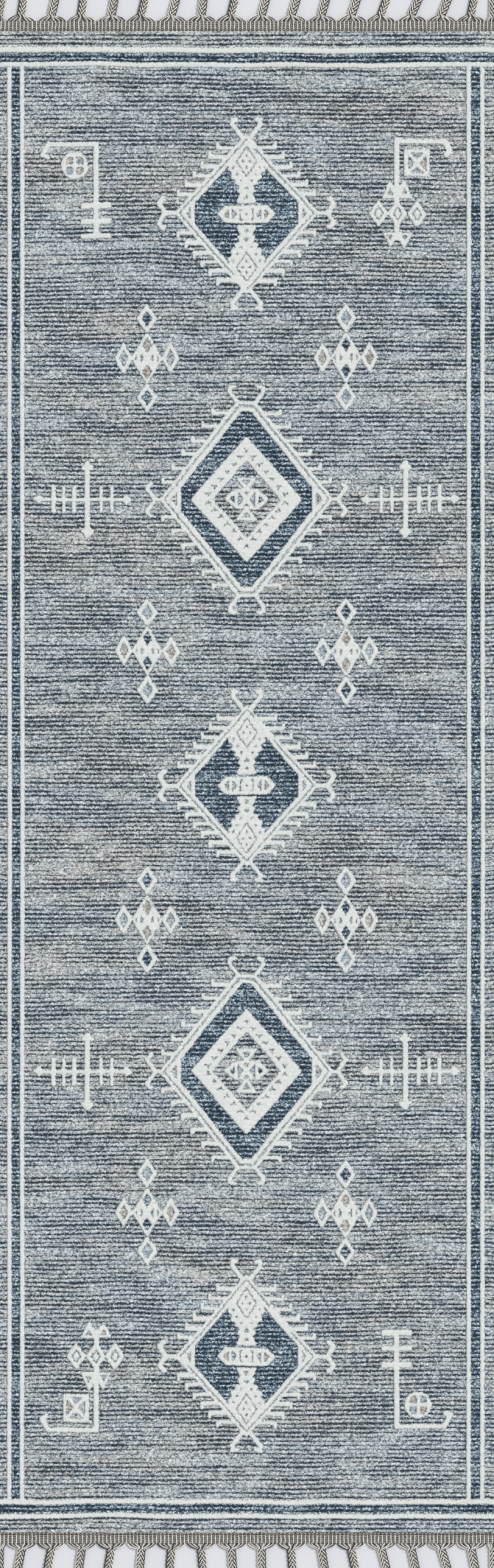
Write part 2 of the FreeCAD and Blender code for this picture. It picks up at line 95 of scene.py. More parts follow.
# The shades of the cut yarn ends that make up the tufts. Scales are in units a metre along X, Y and Z.
YARN_END_SCALE = (760, 620, 300)
LEAN_SCALE = (380, 380, 300)
LEAN = (3.0, 1.6, 0.0)  # how far yarn ends lean, in their own widths
GRAIN_SCALE = (1300, 1000, 620)
GRAIN_SHARE = 0.7
RUN_SCALE = (200, 330, 300)
RUN_SHARE = 1.6
TINT_SHARE = 1.1  # how much yarn ends differ from warm to cool

# The dark gaps between rows of tufts, in shares of a row.
GAP_RAGGED = 0.75
GAP_RAGGED_SCALE = (750, 200, 90)
GAP_HALF_WIDTH = 0.235  # where "dark" is 1, before the yarn's own spread is added
GAP_BREAKS = 0.3
GAP_BREAK_SCALE = (150, 330, 60)
GAP_SOFTNESS = 0.05

# How the neighbouring yarn's ends mix in along an outline.
FRINGE_AT_EDGE = 0.55
FRINGE_BY_END = 0.9
FRINGE_SHARPNESS = 12.0

FIELD_PANELS = 9  # the field is cut into so many pieces along the rug
FAR = 2.0  # past every edge of the rug

# The end bands: cream ribs, dark ribs crossed by cream picks, and a line of stitches beside the pile.
RIB_PITCH_MM = 5.85
CREAM_RIB_SHARE = 0.34
BAND_STEP_MM = (0.45, 0.29)  # of the grid, along X and along Y
BAND_ROUNDING_MM = 0.8  # how far in the outer edge starts to drop
BAND_DROP_MM = 1.2
PICK_PITCH_MM = 2.7
PICK_SHADE = 0.75
MIDDLE_YARN_SHADE = 0.45
STITCH_DEPTH_MM = 2.6
STITCH_HALF_WIDTH_MM = 0.55
STITCH_SHADE, STITCH_HEIGHT_MM = 0.02, 0.2
PALE_SHADE, PALE_HEIGHT_MM = 0.88, 0.75

BACK_STEP_MM = 4.2  # of the back's grid, along X

# The side cords: points round them, and the spacing of their rings and of the turns of yarn.
CORD_SIDES = 14
CORD_STEP_MM = 1.05
CORD_TURN_MM = 3.1

# The tassels, measured outwards from the end band's edge.
TASSEL_PITCH_MM = 45.0
WHOLE_GROUPS = 16
GROUP_GAP_MM = 2.0
GATHER_MM = 9.0
PLAIT_END_MM = 65.0
KNOT_END_MM = 74.0
TASSEL_LENGTH_MM = 89.0
STRANDS = 3
YARNS_PER_STRAND = 4
FAN_SPREAD = 0.62  # under 1 the yarns crowd to the two sides of the fan
FAN_ORDER = (0, 2, 1)  # which third of the group's width each strand comes from
CREAM_RADIUS_MM = 1.05
DARK_RADIUS_MM = 0.9
YARN_SPACING_MM = 1.6
STRAND_SWING_MM = 3.6
STRAND_LIFT_MM = 1.6
PLAIT_CYCLE_MM = 20.0
PLAIT_CENTRE_MM = 2.95
PLAIT_OVERLAP_MM = 1.5  # how far the plait reaches back into the gathered yarns
PLAIT_TUCK_MM = 4.0  # how far it goes on inside the knot
PLAIT_TAPER_MM = 9.0  # the length over which it narrows to its end
YARN_STEP_MM = 1.15
LOOSE_SPREAD_MM = 6.4  # how far to each side the loose ends fan out
KNOT_TURNS = 4.2
KNOT_POINTS = 14  # on each turn
KNOT_YARN_RADIUS_MM = 1.12
KNOT_HALF_WIDTH_MM = 4.9
KNOT_HALF_HEIGHT_MM = 2.95
KNOT_CENTRE_MM = 4.15

# How far each plait leans towards +X, in degrees, from the left corner to the right one.
LEANS_TOP = (9, 8, 13, 8, 10, 14, 16, 7, 13, 16, 18, 16, 19, 20, 24, 22, 11, 1)
LEANS_BOTTOM = (-1, -11, -11, -8, -10, -6, -4, 5, 4, 1, 4, 9, 12, 14, 12, 17, 11, 1)

# The camera's height over the rug, the length that it sees, and the point that it looks down on.
CAMERA_DISTANCE = 9.0
VIEW_LENGTH = 2.3527
VIEW_CENTRE = (0.0009, -0.0027)
SENSOR = 36.0

SKY_STRENGTH = 0.57
SUN_STRENGTH = 1.88
SUN_SPREAD = math.radians(24)
SUN_FROM = (0.62, 0.42, 1.0)
FLOOR_HALF = 7.0
FLOOR_DROP = 0.0003  # keeps the floor clear of the rug's flat parts


# --- camera, light and floor ----------------------------------------------------------------------------


def make_camera():
    """Straight above the rug, far enough away that it looks flat."""
    data = bpy.data.cameras.new("camera")
    data.sensor_width = SENSOR
    data.lens = SENSOR * CAMERA_DISTANCE / VIEW_LENGTH
    camera = bpy.data.objects.new("camera", data)
    camera.location = (*VIEW_CENTRE, cad_box[1].z + CAMERA_DISTANCE)
    bpy.context.scene.collection.objects.link(camera)
    bpy.context.scene.camera = camera


def make_light():
    """Even studio light from all round, and a wide soft light from the upper right."""
    world = bpy.data.worlds.new("studio")
    world.use_nodes = True
    world.node_tree.nodes["Background"].inputs["Color"].default_value = (0.97, 0.985, 1.0, 1.0)
    world.node_tree.nodes["Background"].inputs["Strength"].default_value = SKY_STRENGTH
    bpy.context.scene.world = world
    data = bpy.data.lights.new("soft_light", "SUN")
    data.energy = SUN_STRENGTH
    data.angle = SUN_SPREAD
    data.color = (1.0, 0.99, 0.97)
    light = bpy.data.objects.new("soft_light", data)
    light.rotation_euler = Vector(SUN_FROM).to_track_quat("Z", "Y").to_euler()
    bpy.context.scene.collection.objects.link(light)
    bpy.context.scene.view_settings.view_transform = "Standard"


def make_floor():
    """A plain pale floor just under the rug."""
    signs = ((-1, -1), (1, -1), (1, 1), (-1, 1))
    points = [(x * FLOOR_HALF, y * FLOOR_HALF, -FLOOR_DROP) for x, y in signs]
    mesh = bpy.data.meshes.new("floor")
    mesh.from_pydata(points, [], [(0, 1, 2, 3)])
    floor = bpy.data.objects.new("floor", mesh)
    bpy.context.scene.collection.objects.link(floor)
    mesh.materials.append(floor_paint())


# --- materials ------------------------------------------------------------------------------------------


def srgb(red, green, blue):
    """A screen colour, 0 to 255, as the linear colour that a material holds."""
    parts = [c / 255 for c in (red, green, blue)]
    return (*[c / 12.92 if c <= 0.04045 else ((c + 0.055) / 1.055) ** 2.4 for c in parts], 1.0)


def add_node(tree, kind, sockets=None, **settings):
    """A node with its settings, and each given socket set to a value or joined to a node's output."""
    node = tree.nodes.new(kind)
    for key, value in settings.items():
        setattr(node, key, value)
    for key, value in (sockets or {}).items():
        if isinstance(value, bpy.types.NodeSocket):
            tree.links.new(value, node.inputs[key])
        else:
            node.inputs[key].default_value = value
    return node


def maths(tree, operation, *values, clamped=False):
    """The result of a Math node, whose inputs are numbers or other nodes' outputs."""
    sockets = dict(enumerate(values))
    return add_node(tree, "ShaderNodeMath", sockets, operation=operation, use_clamp=clamped).outputs[0]


def added(tree, base, *terms):
    """The base plus each (amount, socket) term, where a socket's middle value of a half adds nothing."""
    for amount, socket in terms:
        offset = maths(tree, "MULTIPLY", maths(tree, "SUBTRACT", socket, 0.5), amount)
        base = maths(tree, "ADD", base, offset)
    return base


def attribute(tree, name):
    """A value that is stored on the mesh."""
    return add_node(tree, "ShaderNodeAttribute", attribute_name=name).outputs["Fac"]


def stretched(tree, scales):
    """The piece's own space, scaled along X, Y and Z: so many units a metre."""
    place = add_node(tree, "ShaderNodeTexCoord").outputs["Object"]
    return add_node(tree, "ShaderNodeMapping", {"Vector": place, "Scale": scales}).outputs[0]


def noise(tree, scales, detail=2.0):
    """Noise from 0 to 1 about a half, with so many blobs a metre along X, Y and Z."""
    sockets = {"Vector": stretched(tree, scales), "Scale": 1.0, "Detail": detail}
    return add_node(tree, "ShaderNodeTexNoise", sockets).outputs["Fac"]


def yarn_end_values(tree):
    """Two random values, 0 to 1, for each little leaning cell of the surface, a cut yarn's end."""
    lean = add_node(tree, "ShaderNodeTexNoise", {"Vector": stretched(tree, LEAN_SCALE), "Scale": 1.0})
    sockets = {0: lean.outputs["Color"], 1: LEAN, 2: stretched(tree, YARN_END_SCALE)}
    leaning = add_node(tree, "ShaderNodeVectorMath", sockets, operation="MULTIPLY_ADD")
    cells = add_node(tree, "ShaderNodeTexVoronoi", {"Vector": leaning.outputs["Vector"], "Scale": 1.0})
    parts = add_node(tree, "ShaderNodeSeparateColor", {"Color": cells.outputs["Color"]})
    return parts.outputs[0], parts.outputs[1]


def ramp(tree, factor, stops):
    """A colour for each share of the yarn's shades, from its darkest to its lightest."""
    node = add_node(tree, "ShaderNodeValToRGB", {"Fac": factor})
    elements = node.color_ramp.elements
    while len(elements) < len(stops):
        elements.new(1.0)
    for element, (position, colour) in zip(elements, stops):
        element.position = position
        element.color = srgb(*colour)
    return node.outputs["Color"]


def blended(tree, factor, first, second):
    """The first colour where the factor is 0, and the second where it is 1."""
    node = add_node(tree, "ShaderNodeMix", {0: factor, 6: first, 7: second}, data_type="RGBA")
    return node.outputs[2]


def cloth(name, roughness, sheen):
    """A matt material with its node tree and its shader."""
    material = bpy.data.materials.new(name)
    material.use_nodes = True
    shader = material.node_tree.nodes["Principled BSDF"]
    shader.inputs["Roughness"].default_value = roughness
    shader.inputs["Specular IOR Level"].default_value = 0.2
    shader.inputs["Sheen Weight"].default_value = sheen
    shader.inputs["Sheen Roughness"].default_value = 0.6
    return material, material.node_tree, shader


def fibre_bump(tree, shader, scales, strength):
    """Fine relief of fibre ends."""
    height = noise(tree, scales, 3.0)
    bump = add_node(tree, "ShaderNodeBump", {"Strength": strength, "Distance": 0.6 * MM, "Height": height})
    tree.links.new(bump.outputs["Normal"], shader.inputs["Normal"])


def row_line(tree, spread):
    """1 in the dark gap between two rows of tufts, wider where "dark" is high, and 0 away from it."""
    ragged = added(tree, attribute(tree, "row"), (GAP_RAGGED, noise(tree, GAP_RAGGED_SCALE)))
    from_gap = maths(tree, "SUBTRACT", maths(tree, "FRACT", maths(tree, "ADD", ragged, 0.5)), 0.5)
    half_width = maths(tree, "MULTIPLY_ADD", attribute(tree, "dark"), GAP_HALF_WIDTH, spread)
    half_width = added(tree, half_width, (GAP_BREAKS, noise(tree, GAP_BREAK_SCALE)))
    inside = maths(tree, "SUBTRACT", half_width, maths(tree, "ABSOLUTE", from_gap))
    return maths(tree, "MULTIPLY_ADD", inside, 1 / GAP_SOFTNESS, 0.5, clamped=True)


def fringed(tree, colour, neighbour, end_value):
    """Ends of the neighbouring yarn stand among a piece's own along its outline, where "edge" is 1."""
    at_edge = maths(tree, "MULTIPLY", attribute(tree, "edge"), FRINGE_AT_EDGE)
    at_edge = added(tree, at_edge, (FRINGE_BY_END, end_value))
    share = maths(tree, "MULTIPLY", maths(tree, "SUBTRACT", at_edge, 0.5), FRINGE_SHARPNESS, clamped=True)
    return blended(tree, share, colour, srgb(*neighbour))


def pile_yarn(name, warm, cool, level, flecks, line, spread, neighbour):
    """Pile whose cut yarn ends take their many shades from a warm and a cool ramp of colours.

    level is the middle shade, and flecks how much it varies. line says how dark the gaps between rows are,
    and spread how wide. The mesh holds "row", "dark", "tint" and "edge".
    """
    material, tree, shader = cloth(name, 0.95, 0.12)
    end_shade, end_tint = yarn_end_values(tree)
    runs = (RUN_SHARE * flecks, noise(tree, RUN_SCALE))
    grain = (GRAIN_SHARE * flecks, noise(tree, GRAIN_SCALE))
    shade = added(tree, level, (flecks, end_shade), grain, runs)
    patchy = maths(tree, "MULTIPLY_ADD", end_tint, 0.8 * line, 0.4 * line)
    shade = maths(tree, "SUBTRACT", shade, maths(tree, "MULTIPLY", row_line(tree, spread), patchy))
    tint = maths(tree, "MULTIPLY_ADD", end_tint, TINT_SHARE, attribute(tree, "tint"), clamped=True)
    colour = blended(tree, tint, ramp(tree, shade, warm), ramp(tree, shade, cool))
    tree.links.new(fringed(tree, colour, neighbour, end_tint), shader.inputs["Base Color"])
    fibre_bump(tree, shader, (900, 900, 500), 0.5)
    return material


def warp_yarn(name, dark, light, speckle):
    """Smooth twisted yarn, from its dark colour where "shade" is 0 to its light one where it is 1."""
    material, tree, shader = cloth(name, 0.85, 0.08)
    grain = maths(tree, "SUBTRACT", noise(tree, (700, 700, 700)), 0.5)
    shade = maths(tree, "ADD", attribute(tree, "shade"), maths(tree, "MULTIPLY", grain, speckle))
    middle = [(d + b) / 2 for d, b in zip(dark, light)]
    colour = ramp(tree, shade, [(0.0, dark), (0.5, middle), (1.0, light)])
    tree.links.new(colour, shader.inputs["Base Color"])
    fibre_bump(tree, shader, (1100, 1100, 1100), 0.35)
    return material


def floor_paint():
    """Plain pale paint with a faint unevenness."""
    material, tree, shader = cloth("floor_paint", 0.9, 0.0)
    colour = ramp(tree, noise(tree, (1.5, 1.5, 1.5)), [(0.0, (220, 221, 226)), (1.0, (226, 227, 232))])
    tree.links.new(colour, shader.inputs["Base Color"])
    return material


def pile_yarns():
    """The materials of the five pile yarns, by name."""
    ground_warm = [
        (0.0, (40, 50, 60)),
        (0.14, (70, 80, 90)),
        (0.3, (122, 126, 128)),
        (0.48, (162, 159, 155)),
        (0.66, (188, 184, 178)),
        (0.86, (203, 202, 199)),
        (1.0, (226, 227, 226)),
    ]
    ground_cool = [
        (0.0, (35, 52, 67)),
        (0.14, (57, 80, 98)),
        (0.3, (98, 123, 140)),
        (0.48, (140, 158, 169)),
        (0.66, (170, 183, 190)),
        (0.86, (194, 203, 208)),
        (1.0, (224, 230, 233)),
    ]
    navy = [
        (0.0, (27, 41, 55)),
        (0.2, (48, 68, 87)),
        (0.4, (74, 98, 118)),
        (0.58, (112, 134, 150)),
        (0.78, (164, 180, 190)),
        (1.0, (222, 229, 232)),
    ]
    cream = [(0.0, (176, 181, 182)), (0.3, (212, 215, 213)), (0.7, (224, 227, 224)), (1.0, (232, 234, 232))]
    brown = [(0.0, (96, 90, 84)), (0.35, (150, 145, 138)), (0.65, (184, 180, 173)), (1.0, (216, 214, 210))]
    blue = [(0.0, (80, 98, 113)), (0.35, (138, 152, 163)), (0.65, (172, 183, 190)), (1.0, (217, 222, 225))]
    ends_of_cream = (222, 224, 221)
    ends_of_ground = (124, 137, 147)
    yarns = {
        "ground": (ground_warm, ground_cool, dict(level=0.66, flecks=0.85, line=1.05, spread=-0.02)),
        "navy": (navy, navy, dict(level=0.57, flecks=0.95, line=0.9, spread=0.03)),
        "cream": (cream, cream, dict(level=0.6, flecks=0.5, line=0.1, spread=-0.06)),
        "brown": (brown, brown, dict(level=0.58, flecks=0.9, line=0.12, spread=-0.06)),
        "blue": (blue, blue, dict(level=0.58, flecks=0.9, line=0.15, spread=-0.06)),
    }
    materials = {}
    for yarn, (warm, cool, values) in yarns.items():
        neighbour = ends_of_ground if yarn == "cream" else ends_of_cream
        materials[yarn] = pile_yarn(f"{yarn}_pile_yarn", warm, cool, neighbour=neighbour, **values)
    return materials


# --- noise and meshes -----------------------------------------------------------------------------------


def smooth_noise(shape, reach, seed):
    """Noise of mean 0 and spread 1, whose blobs reach over that many grid rows and columns."""
    random = np.random.default_rng(seed)
    waves = np.fft.rfft2(random.standard_normal(shape))
    across = np.fft.rfftfreq(shape[1])[None, :] * reach[1]
    along = np.fft.fftfreq(shape[0])[:, None] * reach[0]
    waves *= np.exp(-2 * (math.pi**2) * (across**2 + along**2))
    values = np.fft.irfft2(waves, shape)
    return (values - values.mean()) / values.std()


def build_mesh(name, points, quads, triangles, attributes):
    """A smooth-shaded mesh, with each attribute's value stored on its points."""
    mesh = bpy.data.meshes.new(name)
    mesh.vertices.add(len(points))
    mesh.vertices.foreach_set("co", np.asarray(points, np.float32).ravel())
    corners = np.concatenate([np.ravel(quads), np.ravel(triangles)]).astype(np.int32)
    mesh.loops.add(len(corners))
    mesh.loops.foreach_set("vertex_index", corners)
    quad_corners = 4 * len(quads)
    starts = [np.arange(0, quad_corners, 4), np.arange(quad_corners, len(corners), 3)]
    starts = np.concatenate(starts).astype(np.int32)
    mesh.polygons.add(len(starts))
    mesh.polygons.foreach_set("loop_start", starts)
    mesh.polygons.foreach_set("use_smooth", np.ones(len(starts), bool))
    mesh.update(calc_edges=True)
    mesh.validate()
    for key, values in attributes.items():
        mesh.attributes.new(key, "FLOAT", "POINT").data.foreach_set("value", np.asarray(values, np.float32))
    return mesh


def place_piece(name, mesh, material, slot, *nodes):
    """A finished piece of the rug that stands for CAD nodes."""
    piece = bpy.data.objects.new(name, mesh)
    bpy.context.scene.collection.objects.link(piece)
    mesh.materials.append(material)
    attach(piece, "root")
    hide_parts(*nodes)
    return piece


def outer_edges(mask):
    """The grid edges round a mask, as (row, column) starts and ends, with its cells on their left."""
    wide = np.pad(mask, 1)
    inside = wide[1:-1, 1:-1]
    sides = (
        (wide[:-2, 1:-1], (0, 0), (0, 1)),
        (wide[1:-1, 2:], (0, 1), (1, 1)),
        (wide[2:, 1:-1], (1, 1), (1, 0)),
        (wide[1:-1, :-2], (1, 0), (0, 0)),
    )
    starts, ends = [], []
    for beside, start, end in sides:
        cells = np.argwhere(inside & ~beside)
        starts.append(cells + start)
        ends.append(cells + end)
    return np.concatenate(starts), np.concatenate(ends)


def corner_count(mask):
    """How many of the mask's cells touch each grid corner."""
    wide = np.pad(mask, 1).astype(int)
    return wide[:-1, :-1] + wide[:-1, 1:] + wide[1:, :-1] + wide[1:, 1:]


def flat_side(corners, edges, mask):
    """Triangles over the mask's cells that use only the corners on its outline."""
    points = [Vector((float(column), float(row))) for row, column in corners]
    found = geometry.delaunay_2d_cdt(points, edges.tolist(), [], 0, 1e-6)
    assert len(found[0]) == len(points)
    triangles = np.array(found[2])
    middle = corners[triangles].mean(axis=1)
    rows = np.minimum(middle[:, 0].astype(int), mask.shape[0] - 1)
    columns = np.minimum(middle[:, 1].astype(int), mask.shape[1] - 1)
    return triangles[mask[rows, columns]]


def closed_relief(name, x, y, z, mask, flat_z, fields):
    """A closed mesh over the mask's cells: a relief at z, walls round it and a flat side at flat_z.

    x, y, z and each field hold a value for every grid corner. Where the relief lies under flat_z, the flat
    side looks up.
    """
    height, width = mask.shape
    used = corner_count(mask) > 0
    number = np.full((height + 1, width + 1), -1)
    number[used] = np.arange(used.sum())
    top = np.stack([x[used], y[used], z[used]], axis=1)
    cells = np.argwhere(mask)
    rows, columns = cells[:, 0], cells[:, 1]
    quads = np.stack(
        [
            number[rows, columns],
            number[rows, columns + 1],
            number[rows + 1, columns + 1],
            number[rows + 1, columns],
        ],
        axis=1,
    )
    starts, ends = outer_edges(mask)
    rim, rim_index = np.unique(np.concatenate([starts, ends]), axis=0, return_inverse=True)
    rim_index = rim_index.reshape(2, -1)
    flat = np.stack([x[rim[:, 0], rim[:, 1]], y[rim[:, 0], rim[:, 1]], np.full(len(rim), flat_z)], axis=1)
    low = rim_index + len(top)
    start_top, end_top = number[starts[:, 0], starts[:, 1]], number[ends[:, 0], ends[:, 1]]
    walls = np.stack([low[0], low[1], end_top, start_top], axis=1)
    under = flat_side(rim, rim_index.T, mask)[:, ::-1] + len(top)
    quads = np.concatenate([quads, walls])
    if flat_z > z.mean():
        quads, under = quads[:, ::-1], under[:, ::-1]
    attributes = {}
    for key, values in fields.items():
        attributes[key] = np.concatenate([values[used], values[rim[:, 0], rim[:, 1]]])
    return build_mesh(name, np.concatenate([top, flat]), quads, under, attributes)


# --- the pile -------------------------------------------------------------------------------------------


def covered_share(node, low, high):
    """How much of each grid cell lies under the top faces of a CAD node, from 0 to 1."""
    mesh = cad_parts[node].data
    mesh.calc_loop_triangles()
    points = np.empty(3 * len(mesh.vertices), np.float32)
    mesh.vertices.foreach_get("co", points)
    points = points.reshape(-1, 3).astype(float)
    corners = np.empty(3 * len(mesh.loop_triangles), np.int32)
    mesh.loop_triangles.foreach_get("vertices", corners)
    corners = corners.reshape(-1, 3)
    on_top = points[:, 2] > points[:, 2].max() - 0.1 * MM
    corners = corners[on_top[corners].all(axis=1)]
    first, second = points[corners].reshape(-1, 3), points[np.roll(corners, -1, axis=1)].reshape(-1, 3)
    upward = (first[:, 1] <= second[:, 1])[:, None]
    lower, upper = np.where(upward, first, second), np.where(upward, second, first)
    wide, tall = COLUMNS * FINE, ROWS * FINE
    sample_width, sample_height = (high.x - low.x) / wide, (high.y - low.y) / tall
    from_row = np.ceil((lower[:, 1] - low.y) / sample_height - 0.5).astype(int)
    to_row = np.ceil((upper[:, 1] - low.y) / sample_height - 0.5).astype(int)
    counts = to_row - from_row
    edge = np.repeat(np.arange(len(counts)), counts)
    row = np.arange(len(edge)) - np.repeat(np.cumsum(counts) - counts, counts) + from_row[edge]
    share = (low.y + (row + 0.5) * sample_height - lower[edge, 1]) / (upper[edge, 1] - lower[edge, 1])
    crossing = lower[edge, 0] + share * (upper[edge, 0] - lower[edge, 0])
    column = np.ceil((crossing - low.x) / sample_width - 0.5).astype(int)
    toggles = np.zeros((tall, wide + 1), np.int32)
    np.add.at(toggles, (row, np.clip(column, 0, wide)), 1)
    inside = np.cumsum(toggles, axis=1)[:, :wide] % 2
    return inside.reshape(ROWS, FINE, COLUMNS, FINE).mean(axis=(1, 3)).astype(np.float32)


def without_corner_contacts(owner, rounds=4):
    """The map of owners with no two cells of one owner that touch only at a corner."""
    for _ in range(rounds):
        a, b, c, d = owner[:-1, :-1], owner[:-1, 1:], owner[1:, :-1], owner[1:, 1:]
        rising = (a == d) & (a != b) & (a != c)
        b[rising] = a[rising]
        falling = (b == c) & (b != a) & (b != d)
        d[falling] = b[falling]
    return owner


class Pile:
    """The grid that all pile pieces share: which node owns each cell, and each corner's place and shade."""

    def __init__(self, yarn_of_node):
        self.low, self.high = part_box("ground_weave")
        self.nodes = list(yarn_of_node)
        weights = [1.0 if node in GROUND_AROUND_FIGURES else FIGURE_WEIGHT for node in self.nodes]
        shares = [w * covered_share(node, self.low, self.high) for node, w in zip(self.nodes, weights)]
        self.owner = without_corner_contacts(np.stack(shares).argmax(axis=0))
        self.corners = (ROWS + 1, COLUMNS + 1)
        self.flat_x = np.linspace(self.low.x, self.high.x, COLUMNS + 1)[None, :].repeat(ROWS + 1, 0)
        self.flat_y = np.linspace(self.low.y, self.high.y, ROWS + 1)[:, None].repeat(COLUMNS + 1, 1)
        self.step = np.arange(ROWS + 1) % STEPS
        self.row = (np.arange(ROWS + 1) / STEPS)[:, None].repeat(COLUMNS + 1, 1)
        self.wander()
        self.shade()

    def wander(self):
        """Rows and columns drift, and their tufts stand a little unevenly, but not at the rug's edges."""
        from_side = np.minimum(self.flat_x - self.low.x, self.high.x - self.flat_x)
        from_end = np.minimum(self.flat_y - self.low.y, self.high.y - self.flat_y)
        free = MM * np.clip(np.minimum(from_side, from_end) / (STILL_MARGIN_MM * MM), 0, 1)
        sway = SWAY_MM * smooth_noise(self.corners, SWAY_REACH, 15)
        x = self.flat_x + 0.4 * DRIFT_MM * free * smooth_noise(self.corners, DRIFT_REACH, 11)
        y = self.flat_y + free * (DRIFT_MM * smooth_noise(self.corners, DRIFT_REACH, 12) + sway)
        x, y = self.eased(x), self.eased(y)
        unevenness = [np.clip(smooth_noise(self.corners, (0.3, 0.3), seed), -1.4, 1.4) for seed in (13, 14)]
        self.x = x + RAGGED_MM[0] * free * unevenness[0]
        self.y = y + RAGGED_MM[1] * free * unevenness[1]

    def eased(self, values, passes=2):
        """Corners on an outline go halfway towards their neighbours on it, which softens its steps."""
        along = np.zeros((ROWS + 1, COLUMNS), bool)
        along[1:-1] = self.owner[:-1] != self.owner[1:]
        upward = np.zeros((ROWS, COLUMNS + 1), bool)
        upward[:, 1:-1] = self.owner[:, :-1] != self.owner[:, 1:]
        for _ in range(passes):
            total, count = np.zeros(self.corners), np.zeros(self.corners)
            pairs = (
                (total[:, :-1], count[:, :-1], along, values[:, 1:]),
                (total[:, 1:], count[:, 1:], along, values[:, :-1]),
                (total[:-1], count[:-1], upward, values[1:]),
                (total[1:], count[1:], upward, values[:-1]),
            )
            for part_total, part_count, joined, beside in pairs:
                part_total += joined * beside
                part_count += joined
            values = np.where(count >= 2, (values + total / np.maximum(count, 1)) / 2, values)
        return values

    def shade(self):
        """Streaks across the rug, where more dark yarn shows between rows, and slow changes of tint."""
        rows = (PILE_ROWS + 1, COLUMNS + 1)
        streaks = smooth_noise(rows, (0.45, 22), 21) + 0.7 * smooth_noise(rows, (0.45, 6), 22)
        patches = smooth_noise(rows, (1.6, 13), 23)
        dark = np.clip(0.8 + 0.25 * streaks + 0.1 * patches, 0, 1.3)
        nearest = np.minimum((np.arange(ROWS + 1) + STEPS // 2) // STEPS, PILE_ROWS)
        self.dark = dark[nearest]
        hue = smooth_noise(self.corners, (9, 40), 27) + 0.8 * smooth_noise(self.corners, (1.6, 12), 28)
        self.tint = -0.02 + 0.13 * hue

    def relief(self, node, yarn, openness):
        """X, Y, height and outline of a node's pile, corner by corner. Cream bulges out at its outline.

        Where openness is 0, in thin lines, the rows don't show and the edge doesn't drop.
        """
        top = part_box(node)[1].z
        rough = TUFT_ROUGHNESS_MM * smooth_noise(self.corners, (0.4, 0.5), 31)
        between = COLUMN_DIP_MM * (np.arange(COLUMNS + 1) % 2 == 0)[None, :]
        if yarn == "cream":
            profile = np.array(CREAM_PROFILE_MM)[self.step][:, None]
            rough, between, bulge = 0.6 * rough, 0.4 * between, CREAM_BULGE_MM * MM
        else:
            profile = np.array(ROW_PROFILE_MM)[self.step][:, None] * (0.5 + 0.5 * self.dark) * openness
            bulge = 0.0
        mask = self.owner == self.nodes.index(node)
        wide = np.pad(mask, 1).astype(int)
        touching = corner_count(mask)
        on_outline = (touching > 0) & (touching < 4)
        toward_x = wide[:-1, 1:] + wide[1:, 1:] - wide[:-1, :-1] - wide[1:, :-1]
        toward_y = wide[1:, :-1] + wide[1:, 1:] - wide[:-1, :-1] - wide[:-1, 1:]
        x = self.x - bulge * on_outline * np.sign(toward_x)
        y = self.y - bulge * on_outline * np.sign(toward_y)
        drop = EDGE_DROP_MM * on_outline * openness
        return x, y, top + MM * (profile + rough - between - drop), on_outline

    def breadth(self, node):
        """How broad a node's pile is round each corner: 0 in a thin line of tufts, 1 in an open patch."""
        near = (self.owner == self.nodes.index(node)).astype(float)
        for axis, reach in ((0, 3), (1, 3)):
            near = sum(np.roll(near, shift, axis) for shift in range(-reach, reach + 1)) / (2 * reach + 1)
        near = np.pad(near, ((0, 1), (0, 1)), mode="edge")
        return np.clip((near - 0.45) * 4, 0, 1)

    def cells(self, node, x_range=None, y_range=None):
        """The node's cells inside a window of the rug."""
        mask = self.owner == self.nodes.index(node)
        middle_x = (self.flat_x[0, :-1] + self.flat_x[0, 1:]) / 2
        middle_y = (self.flat_y[:-1, 0] + self.flat_y[1:, 0]) / 2
        if x_range:
            mask = mask & ((middle_x >= x_range[0]) & (middle_x < x_range[1]))[None, :]
        if y_range:
            mask = mask & ((middle_y >= y_range[0]) & (middle_y < y_range[1]))[:, None]
        return mask


def windows_of(node):
    """The windows that a node's pile is cut into, each with its piece's name."""
    low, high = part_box(node)
    middle = (low + high) / 2
    if node == "field_pile":
        cuts = np.linspace(low.y, high.y, FIELD_PANELS + 1)
        pairs = zip(cuts[:-1], cuts[1:])
        return [(f"field_panel_{i}", None, pair) for i, pair in enumerate(pairs, 1)]
    if node.startswith("border"):
        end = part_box("field_pile")[1].y
        ends = [(f"{node}_top", None, (end, FAR)), (f"{node}_bottom", None, (-FAR, -end))]
        sides = [(f"{node}_left", (-FAR, 0), (-end, end)), (f"{node}_right", (0, FAR), (-end, end))]
        return ends + sides
    if node.startswith("medallion_") and node != "medallion_grounds":
        return [(f"{node}_pile", None, None)]
    if node in ("medallion_grounds", "inset_ground", "accent_brown", "accent_blue"):
        middles = [sum(p.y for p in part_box(f"medallion_{i}")) / 2 for i in range(1, 6)]
        cuts = [FAR] + [(a + b) / 2 for a, b in zip(middles[:-1], middles[1:])] + [-FAR]
        return [(f"{node}_{i}", None, (b, a)) for i, (a, b) in enumerate(zip(cuts[:-1], cuts[1:]), 1)]
    columns = (("left", (-FAR, middle.x)), ("right", (middle.x, FAR)))
    if node.startswith("corner"):
        return [(f"{node}_{side}", x_range, None) for side, x_range in columns]
    rows = (("low", (-FAR, middle.y)), ("high", (middle.y, FAR)))
    return [(f"{node}_{side}_{row}", xs, ys) for side, xs in columns for row, ys in rows]


